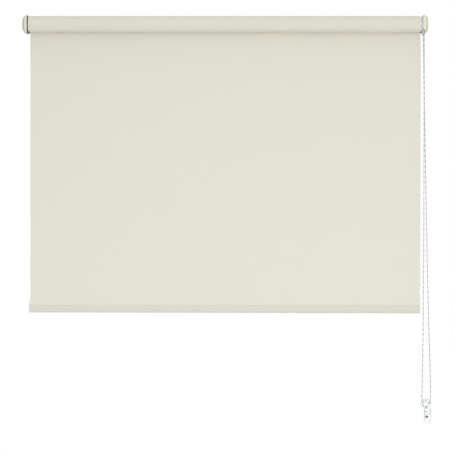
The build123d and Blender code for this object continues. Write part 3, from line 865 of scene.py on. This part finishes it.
def left_cover_profiles(wall):
    """Outside and inside of the left cover: a lip at the plate, a groove and a rounded face."""
    radius = LEFT_COVER_HIGH.z
    rim = LEFT_PLATE_X
    face_setback, groove_setback = 0.0014, 0.0026
    groove_half, groove_depth = 0.0006, 0.0012
    lip_reach, lip_rise, lip_gap = 0.0002, 0.0003, 0.00005
    lip_back, lip_foot, rebate = 0.0008, 0.0014, 0.0003
    run, drop = 0.0062, 0.0037
    band_width, band_rise = 0.0027, 0.0085 - drop
    face = LEFT_COVER_LOW.x + face_setback
    groove = rim - groove_setback
    shoulder = face + band_width
    corner = rounded_corner(shoulder, run, radius, drop)
    outside = [(rim + lip_reach, radius + lip_rise), (rim - lip_back, radius + lip_rise)]
    outside += [(rim - lip_foot, radius)]
    outside += [(x, r) for x, r in corner if x > groove + groove_half]
    for side, depth in ((1, 0), (0.7, groove_depth), (-0.7, groove_depth), (-1, 0)):
        x = groove + side * groove_half
        outside.append((x, oval_radius(x, shoulder, run, radius, drop) - depth))
    outside += [(x, r) for x, r in corner if x < groove - groove_half]
    outside.append((face, radius - drop - band_rise))
    inside = [(rim + lip_reach, radius + lip_gap), (rim - rebate, radius + lip_gap)]
    inside += [(rim - 2 * rebate, radius - wall), (shoulder + run, radius - wall)]
    inside += [(shoulder, radius - drop - wall), (face + wall, radius - drop - band_rise)]
    return outside, inside


def right_cover_profiles(wall):
    """Outside and inside of the right cover: a bevel at the rim and a deeper one at the face."""
    radius = RIGHT_COVER_HIGH.z
    face_setback, rim_reach = 0.0013, 0.0014
    run, drop = 0.0056, 0.0068
    rim_run, rim_drop = 0.0034, 0.0036
    soft, face_wall, rim_wall = 0.0005, 0.0008, 0.0004
    face = RIGHT_COVER_HIGH.x - face_setback
    rim = RIGHT_COVER_LOW.x - rim_reach
    round_off = soft * 0.6
    outside = [(rim, radius - rim_drop), (rim + rim_run - soft, radius - soft)]
    outside += [(rim + rim_run + soft, radius), (face - run - soft, radius)]
    outside += [(face - run + round_off, radius - round_off)]
    outside += [(face - round_off, radius - drop + round_off), (face, radius - drop - soft)]
    inside = [(rim, radius - rim_drop - rim_wall), (rim + rim_run, radius - wall)]
    inside += [(face - run, radius - wall), (face - face_wall, radius - drop - rim_wall)]
    return outside, inside


class BLIND_OT_end_covers(bpy.types.Operator):
    """Mould the two end covers and finish the brackets behind them"""

    bl_idname = "blind.end_covers"
    bl_label = "End covers"

    def execute(self, context):
        fittings = context.scene.blind_fittings
        plastic = moulded_plastic("cover plastic", fittings.cover_colour, 0.38)
        covers = {}
        for side, profiles in (("left", left_cover_profiles), ("right", right_cover_profiles)):
            name = f"end_cover_{side}"
            mesh = cover_mesh(name, *profiles(fittings.cover_wall))
            covers[side] = new_piece(
                name, mesh, plastic, "root", [f"cover_{side}"]
            )
        sharpen(covers["left"], 14)

        chain_x, circle = chain_wheel(context.scene.blind_chain)
        strand_room, slot_top = 0.0022, -0.008
        half_width, half_depth = fittings.strand_slot / 2, circle + strand_room
        cut_box(
            covers["right"],
            (chain_x - half_width, AXIS.y - half_depth, -2 * RIGHT_COVER_HIGH.z),
            (chain_x + half_width, AXIS.y + half_depth, slot_top),
        )
        sharpen(covers["right"], 30)

        # Painted shade: the brackets' dark paint is made near black to darken the gap beside the
        # covers
        steel = painted_steel("bracket painted shade", fittings.bracket_shade_colour)
        for side in ("left", "right"):
            softened(
                f"bracket_{side}", f"wall_bracket_{side}", 0.0002, steel, "root", 2
            )
        return {"FINISHED"}


class BLIND_OT_roller_ends(bpy.types.Operator):
    """Finish the plugs, the guard ring, the clutch and the spring pin"""

    bl_idname = "blind.roller_ends"
    bl_label = "Roller ends"

    def execute(self, context):
        fittings = context.scene.blind_fittings
        # Painted shade: the guard ring's plastic is darker than the covers' to show shade on its
        # bevels
        guard = moulded_plastic("guard plastic painted shade", fittings.guard_shade_colour, 0.4)
        white = moulded_plastic("plug plastic", (0.95, 0.94, 0.85), 0.42)
        acetal = moulded_plastic("clutch plastic", (0.80, 0.79, 0.70), 0.35, 0.08)
        spring = metal("spring steel", (0.55, 0.55, 0.56), 0.25, (900, 900, 900))
        softened("chain_guard", "guard_ring", 0.0005, guard, "root")
        softened("idle_plug", "roller_plug_left", 0.0004, white, "roller", 2)
        softened("drive_hub", "roller_plug_right", 0.0004, white, "roller", 2)
        paint("clutch_stator", acetal)
        paint("sprocket", acetal)
        paint("fabric_spline", white)
        paint("stator_clip", spring)
        paint("brake_spring", spring)
        mesh = frame["nodes"]["idle_spring"].data.copy()
        coil = new_piece("pin_spring", mesh, spring, "roller", ["idle_spring"])
        sharpen(coil, 50)
        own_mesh(coil)
        paint("idle_pin", metal("turned steel", (0.62, 0.62, 0.63), 0.28, (2500, 20, 20)))
        return {"FINISHED"}


# The chain's route below the wheel: X from the wheel's middle plane, Y and Z.
# Y is None where the strand hangs straight down from the circle of beads.
CHAIN_ROUTE = [
    (0, None, 0),
    (0, None, -0.022),
    (-0.00025, -0.0489, -0.0900),
    (-0.00045, -0.0480, -0.2100),
    (-0.00055, -0.0464, -0.3450),
    (-0.00075, -0.0438, -0.4800),
    (-0.00100, -0.0396, -0.6000),
    (-0.00140, -0.0336, -0.7000),
    (-0.00195, -0.0252, -0.7820),
    (-0.00245, -0.0156, -0.8350),
    (-0.00255, -0.0092, -0.8585),
    (-0.00105, -0.0080, -0.8690),
    (0.00115, -0.0080, -0.8767),
    (0.00715, -0.0080, -0.8787),
    (0.01285, -0.0080, -0.8761),
    (0.01515, -0.0080, -0.8680),
    (0.01685, -0.0083, -0.8575),
    (0.01785, -0.0092, -0.8395),
    (0.01635, -0.0108, -0.7880),
    (0.01360, -0.0130, -0.7070),
    (0.01090, -0.0148, -0.6060),
    (0.00820, -0.0162, -0.4860),
    (0.00570, -0.0172, -0.3500),
    (0.00330, -0.0179, -0.2150),
    (0.00125, -0.0184, -0.0950),
    (0, None, -0.022),
    (0, None, 0),
]


def centre_line(curve):
    """The points of a curve's own smooth line."""
    bare = bpy.data.objects.new("line", curve.data.copy())
    bare.data.bevel_depth = 0
    bpy.context.scene.collection.objects.link(bare)
    graph = bpy.context.evaluated_depsgraph_get()
    mesh = bpy.data.meshes.new_from_object(bare.evaluated_get(graph))
    points = [vertex.co.copy() for vertex in mesh.vertices]
    bpy.data.objects.remove(bare)
    bpy.data.meshes.remove(mesh)
    return points


def lengths_along(points):
    """How far along a line each of its points lies."""
    lengths = [0]
    for before, after in zip(points, points[1:]):
        lengths.append(lengths[-1] + (after - before).length)
    return lengths


def places_along(points, count):
    """Evenly spaced places along a line, each with its direction, from its start."""
    lengths = lengths_along(points)
    made, index = [], 0
    for number in range(count):
        target = lengths[-1] * number / count
        while lengths[index + 1] < target:
            index += 1
        step = points[index + 1] - points[index]
        share = (target - lengths[index]) / (lengths[index + 1] - lengths[index])
        made.append((points[index] + step * share, step.normalized()))
    return made


def bead_mesh(name, places, radius):
    """A round bead at each place, with its poles on the cord."""
    bead = bmesh.new()
    bmesh.ops.create_uvsphere(bead, u_segments=20, v_segments=12, radius=radius)
    corners = [vertex.co.copy() for vertex in bead.verts]
    rounds = [[vertex.index for vertex in face.verts] for face in bead.faces]
    bead.free()
    points, faces = [], []
    for place, direction in places:
        turn = direction.to_track_quat("Z", "Y").to_matrix()
        faces += [[index + len(points) for index in face] for face in rounds]
        points += [place + turn @ corner for corner in corners]
    mesh = bpy.data.meshes.new(name)
    mesh.from_pydata(points, [], faces)
    mesh.shade_smooth()
    return mesh


class BLIND_OT_bead_chain(bpy.types.Operator):
    """Run the bead chain over its wheel and round the tidy"""

    bl_idname = "blind.bead_chain"
    bl_label = "Bead chain"

    def execute(self, context):
        chain = context.scene.blind_chain
        chain_x, circle = chain_wheel(chain)
        quarter = 4
        step = math.pi / 2 / quarter
        # The curve passes inside its points, so they stand out past the circle
        reach = circle / (0.75 + 0.25 * math.cos(step))
        rear = [
            Vector((chain_x, AXIS.y + reach * math.cos(a), reach * math.sin(a)))
            for a in [step * (i + 0.5) for i in range(quarter)]
        ]
        front = [Vector((p.x, 2 * AXIS.y - p.y, p.z)) for p in reversed(rear)]
        hanging = []
        for index, (shift, y, z) in enumerate(CHAIN_ROUTE):
            side = -1 if index < len(CHAIN_ROUTE) / 2 else 1
            hanging.append(
                Vector((chain_x + shift, AXIS.y + side * circle if y is None else y, z))
            )
        start = Vector((chain_x, AXIS.y - chain.cord_joint / 2, circle))
        end = Vector((chain_x, AXIS.y + chain.cord_joint / 2, circle))
        route = [start] + front + hanging + rear + [end]

        line = bpy.data.curves.new("chain_line", "CURVE")
        line.dimensions = "3D"
        line.resolution_u = 24
        spline = line.splines.new("NURBS")
        spline.points.add(len(route) - 1)
        for point, place in zip(spline.points, route):
            point.co = (*place, 1)
        spline.order_u = 3
        spline.use_endpoint_u = True
        line.bevel_depth = chain.cord_radius
        line.bevel_resolution = 3
        line.materials.append(braided_cord("chain cord"))
        cord = bpy.data.objects.new("chain_line", line)
        context.scene.collection.objects.link(cord)
        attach(cord, "root")
        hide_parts("chain_cord")

        points = centre_line(cord)
        length = lengths_along(points)[-1]
        places = places_along(points, round(length / chain.bead_pitch))
        beads = new_piece(
            "beads",
            bead_mesh("beads", places, chain.bead_radius),
            moulded_plastic("bead plastic", chain.bead_colour, 0.25, 0.05),
            "root",
            ["chain_beads"],
        )
        return {"FINISHED"}


def rib_mesh(name, lines, width, low, high):
    """Upright ribs along lines of X and Z, between two depths."""
    shape = bmesh.new()
    for line in lines:
        sides = []
        for index, (x, z) in enumerate(line):
            before, after = line[max(0, index - 1)], line[min(len(line) - 1, index + 1)]
            along = Vector((after[0] - before[0], after[1] - before[1])).normalized()
            across = Vector((-along.y, along.x)) * width / 2
            left, right = (x + across.x, z + across.y), (x - across.x, z - across.y)
            ring = ((left, low), (right, low), (right, high), (left, high))
            sides.append([shape.verts.new((place[0], y, place[1])) for place, y in ring])
        for near, far in zip(sides, sides[1:]):
            for i in range(4):
                shape.faces.new((near[i], near[(i + 1) % 4], far[(i + 1) % 4], far[i]))
        shape.faces.new(sides[0][::-1])
        shape.faces.new(sides[-1])
    bmesh.ops.recalc_face_normals(shape, faces=shape.faces)
    mesh = bpy.data.meshes.new(name)
    shape.to_mesh(mesh)
    shape.free()
    return mesh


# The tidy's ribs: X from the leg's edge on the idle side, and Z from the middle of the ring
TIDY_RIBS = (
    ((-0.0004, 0.0080), (0.0012, 0.0089), (0.0056, 0.0087)),
    ((0.0006, -0.0229), (0.0006, -0.0355)),
    ((0.0005, -0.0125), (0.0017, -0.0189), (0.0058, -0.0166)),
    ((0.0097, -0.0102), (0.0150, -0.0171)),
    ((0.0097, -0.0178), (0.0143, -0.0219)),
)


class BLIND_OT_chain_tidy(bpy.types.Operator):
    """Fix the clear chain tidy to the wall"""

    bl_idname = "blind.chain_tidy"
    bl_label = "Chain tidy"

    def execute(self, context):
        clear = clear_plastic("clear plastic")
        softened("tidy_body", "clear_tidy", 0.0003, clear, "root", 2)
        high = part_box("tidy_body")[1]
        leg_width, ring_radius = 0.0160, 0.0122
        rib_width, rib_front, rib_back = 0.0015, -0.0049, -0.0021
        leg_low_x, ring_z = high.x - leg_width, high.z - ring_radius
        lines = [[(leg_low_x + x, ring_z + z) for x, z in line] for line in TIDY_RIBS]
        ribs = new_piece(
            "tidy_ribs",
            rib_mesh("tidy_ribs", lines, rib_width, rib_front, rib_back),
            # Painted shade: the ribs' clear plastic is tinted almost black to stand for their
            # dark refracting edges
            clear_plastic("clear ribs painted shade", 0.12),
            "root",
        )
        sharpen(ribs, 30)
        zinc = metal("dark screw", (0.10, 0.10, 0.10), 0.35, (700, 700, 700))
        softened("tidy_screw", "wall_screw", 0.00025, zinc, "root", 2)
        return {"FINISHED"}


def stage_level(tree, value, span, levels):
    """A light level that changes smoothly over a span of directions."""
    sockets = {
        "Value": value,
        "From Min": span[0],
        "From Max": span[1],
        "To Min": levels[0],
        "To Max": levels[1],
    }
    made = add_node(tree, "MapRange", sockets, interpolation_type="SMOOTHSTEP")
    return made.outputs["Result"]


class BLIND_OT_stage(bpy.types.Operator):
    """Set the camera, the soft lights and a plain pale floor"""

    bl_idname = "blind.stage"
    bl_label = "Stage"

    def execute(self, context):
        stage = context.scene.blind_stage
        scene = context.scene

        data = bpy.data.cameras.new("camera")
        data.sensor_width = 36
        data.lens = data.sensor_width * stage.view_distance / stage.view_span
        data.clip_end = 50
        camera = bpy.data.objects.new("camera", data)
        camera.location = Vector(stage.view_centre) - Vector((0, stage.view_distance, 0))
        camera.rotation_euler = (math.pi / 2, 0, 0)
        scene.collection.objects.link(camera)
        scene.camera = camera

        for name, place, size, power in (
            ("key", (0.5, -4.0, 0.6), (1.4, 1.0), 22),
            ("fill", (0.4, -3.4, -1.1), (1.4, 1.0), 31.5),
        ):
            light = bpy.data.lights.new(name, "AREA")
            light.shape = "RECTANGLE"
            light.size, light.size_y = size
            light.energy = power
            lamp = bpy.data.objects.new(name, light)
            lamp.location = place
            aim = Vector(stage.view_centre) - Vector(place)
            lamp.rotation_euler = aim.to_track_quat("-Z", "Y").to_euler()
            scene.collection.objects.link(lamp)

        world = bpy.data.worlds.new("studio")
        world.use_nodes = True
        scene.world = world
        tree = world.node_tree
        air = tree.nodes["Background"]
        air.inputs["Color"].default_value = (1, 1, 1, 1)
        ray = add_node(tree, "LightPath")
        direction = add_node(tree, "TexCoord").outputs["Generated"]
        parts = add_node(tree, "SeparateXYZ", {"Vector": direction})
        idle_side = (stage.idle_side_level, stage.air_level)
        level = stage_level(tree, parts.outputs["X"], (-0.55, 0), idle_side)
        chain_side = stage_level(tree, parts.outputs["X"], (0, 0.9), (1, stage.chain_side_level))
        level = result_of(tree, "MULTIPLY", level, chain_side)
        overhead = stage_level(tree, parts.outputs["Z"], (0, 1), (1, stage.top_level))
        lit = result_of(tree, "MULTIPLY", level, overhead)
        height = result_of(tree, "ABSOLUTE", parts.outputs["Z"], 0)
        cards = stage_level(tree, height, (0.16, 0.42), (1, stage.card_level))
        through = ray.outputs["Is Transmission Ray"]
        around = result_of(tree, "SUBTRACT", 1, through)
        lit = result_of(tree, "MULTIPLY", lit, around)
        clear = result_of(tree, "MULTIPLY", cards, through)
        strength = result_of(tree, "ADD", lit, clear)
        strength = result_of(tree, "MAXIMUM", strength, ray.outputs["Is Camera Ray"])
        tree.links.new(strength, air.inputs["Strength"])

        made, floor_tree, shader = new_material("floor paint", 0.8)
        place = scaled_place(floor_tree, "object", (1, 1, 1))
        cloud = add_node(floor_tree, "TexNoise", {"Vector": place, "Scale": 3, "Detail": 2})
        tone = blend_colours(
            floor_tree, cloud.outputs["Fac"], (0.83, 0.83, 0.82, 1), (0.86, 0.86, 0.85, 1)
        )
        floor_tree.links.new(tone, shader.inputs["Base Color"])
        half, back = 2.2, 0.9
        corners = [(-half, -half), (half, -half), (half, back), (-half, back)]
        mesh = bpy.data.meshes.new("floor")
        mesh.from_pydata([(x, y, stage.floor_height) for x, y in corners], [], [(0, 1, 2, 3)])
        mesh.materials.append(made)
        floor = bpy.data.objects.new("floor", mesh)
        scene.collection.objects.link(floor)

        scene.view_settings.view_transform = "Standard"
        return {"FINISHED"}


STEPS = (
    BLIND_OT_stage,
    BLIND_OT_bead_chain,
    BLIND_OT_wound_cloth,
    BLIND_OT_hanging_cloth,
    BLIND_OT_hem,
    BLIND_OT_end_covers,
    BLIND_OT_roller_ends,
    BLIND_OT_chain_tidy,
)


class BLIND_PT_sidebar(bpy.types.Panel):
    """The blind's pieces and their sizes"""

    bl_idname = "BLIND_PT_sidebar"
    bl_label = "Blind"
    bl_space_type = "VIEW_3D"
    bl_region_type = "UI"
    bl_category = "Blind"

    def draw(self, context):
        layout = self.layout
        for step in STEPS:
            layout.operator(step.bl_idname)
        for name in SETTINGS:
            group = getattr(context.scene, name)
            for prop in group.__annotations__:
                layout.prop(group, prop)


SETTINGS = {
    "blind_cloth": BlindClothSettings,
    "blind_fittings": BlindFittingSettings,
    "blind_chain": BlindChainSettings,
    "blind_stage": BlindStageSettings,
}


def register():
    for name, group in SETTINGS.items():
        bpy.utils.register_class(group)
        setattr(bpy.types.Scene, name, PointerProperty(type=group))
    for step in STEPS:
        bpy.utils.register_class(step)
    bpy.utils.register_class(BLIND_PT_sidebar)


def unregister():
    bpy.utils.unregister_class(BLIND_PT_sidebar)
    for step in reversed(STEPS):
        bpy.utils.unregister_class(step)
    for name, group in SETTINGS.items():
        delattr(bpy.types.Scene, name)
        bpy.utils.unregister_class(group)


def main():
    register()
    for step in STEPS:
        group, name = step.bl_idname.split(".")
        getattr(getattr(bpy.ops, group), name)()


if __name__ == "__main__":
    main()
